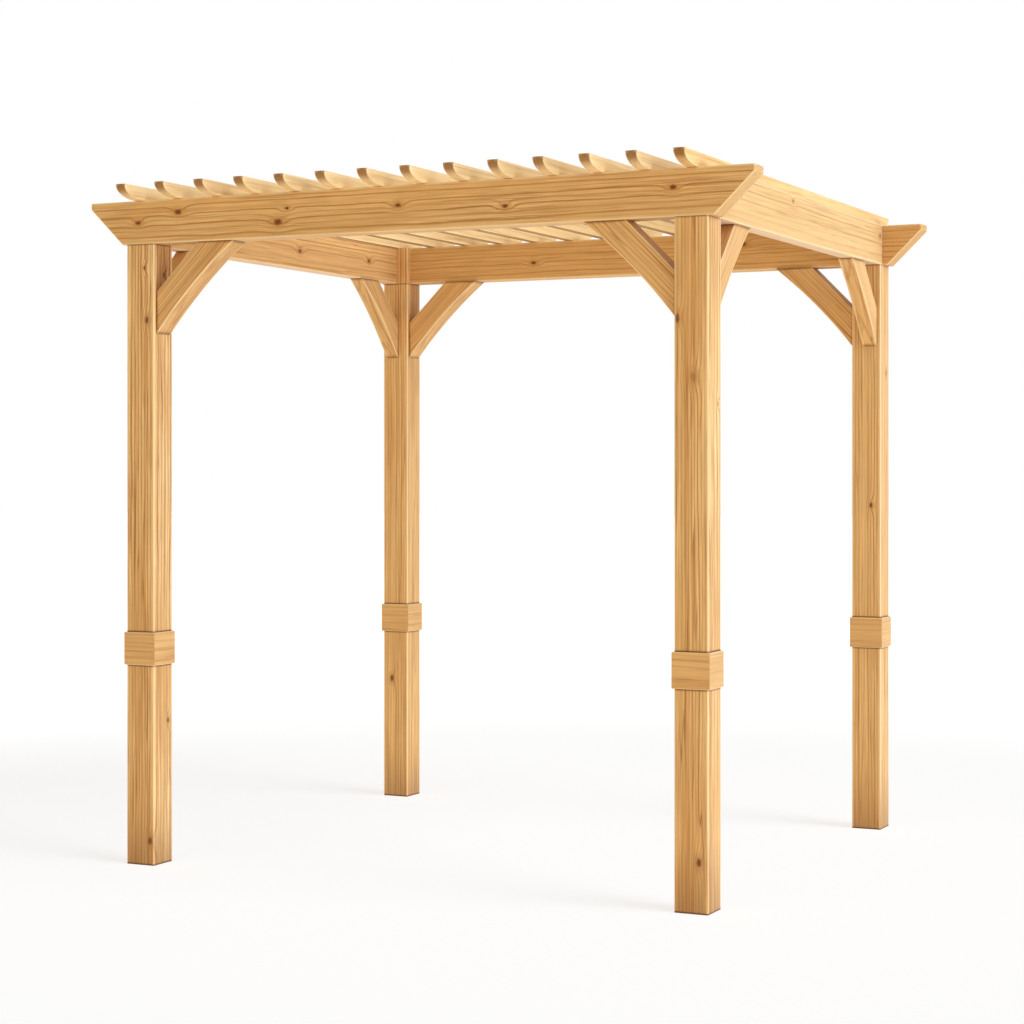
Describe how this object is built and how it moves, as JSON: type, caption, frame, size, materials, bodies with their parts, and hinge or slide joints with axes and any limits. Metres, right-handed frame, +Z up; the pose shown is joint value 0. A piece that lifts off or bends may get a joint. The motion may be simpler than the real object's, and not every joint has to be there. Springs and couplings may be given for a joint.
{
  "type": "wooden pergola",
  "caption": "Free-standing open timber pergola: square collared posts, mitred cross beams, side beams, arched knee braces and a roof of round-tailed slats.",
  "frame": {"origin": "on the ground, in the middle of the four posts, which is the middle of the bounding box's base", "axes": "+X to the right along the front beam, +Y from front to rear along the slats, +Z up"},
  "size_m": [2.62, 2.34, 2.51],
  "materials": {
    "post_wood": "planed, clear oiled softwood",
    "beam_wood": "planed, clear oiled softwood",
    "brace_wood": "planed, clear oiled softwood",
    "slat_wood": "planed, clear oiled softwood",
    "collar_wood": "planed, clear oiled softwood"
  },
  "bodies": {
    "root": {"front_beam": "beam_wood", "rear_beam": "beam_wood", "left_side_beam": "beam_wood", "right_side_beam": "beam_wood", "front_left_post": "post_wood", "front_left_collar": "collar_wood", "front_left_front_beam_brace": "brace_wood", "front_left_side_beam_brace": "brace_wood", "front_right_post": "post_wood", "front_right_collar": "collar_wood", "front_right_front_beam_brace": "brace_wood", "front_right_side_beam_brace": "brace_wood", "rear_left_post": "post_wood", "rear_left_collar": "collar_wood", "rear_left_rear_beam_brace": "brace_wood", "rear_left_side_beam_brace": "brace_wood", "rear_right_post": "post_wood", "rear_right_collar": "collar_wood", "rear_right_rear_beam_brace": "brace_wood", "rear_right_side_beam_brace": "brace_wood", "slat_01": "slat_wood", "slat_02": "slat_wood", "slat_03": "slat_wood", "slat_04": "slat_wood", "slat_05": "slat_wood", "slat_06": "slat_wood", "slat_07": "slat_wood", "slat_08": "slat_wood", "slat_09": "slat_wood", "slat_10": "slat_wood", "slat_11": "slat_wood", "slat_12": "slat_wood", "slat_13": "slat_wood", "slat_14": "slat_wood"}
  },
  "joints": []
}
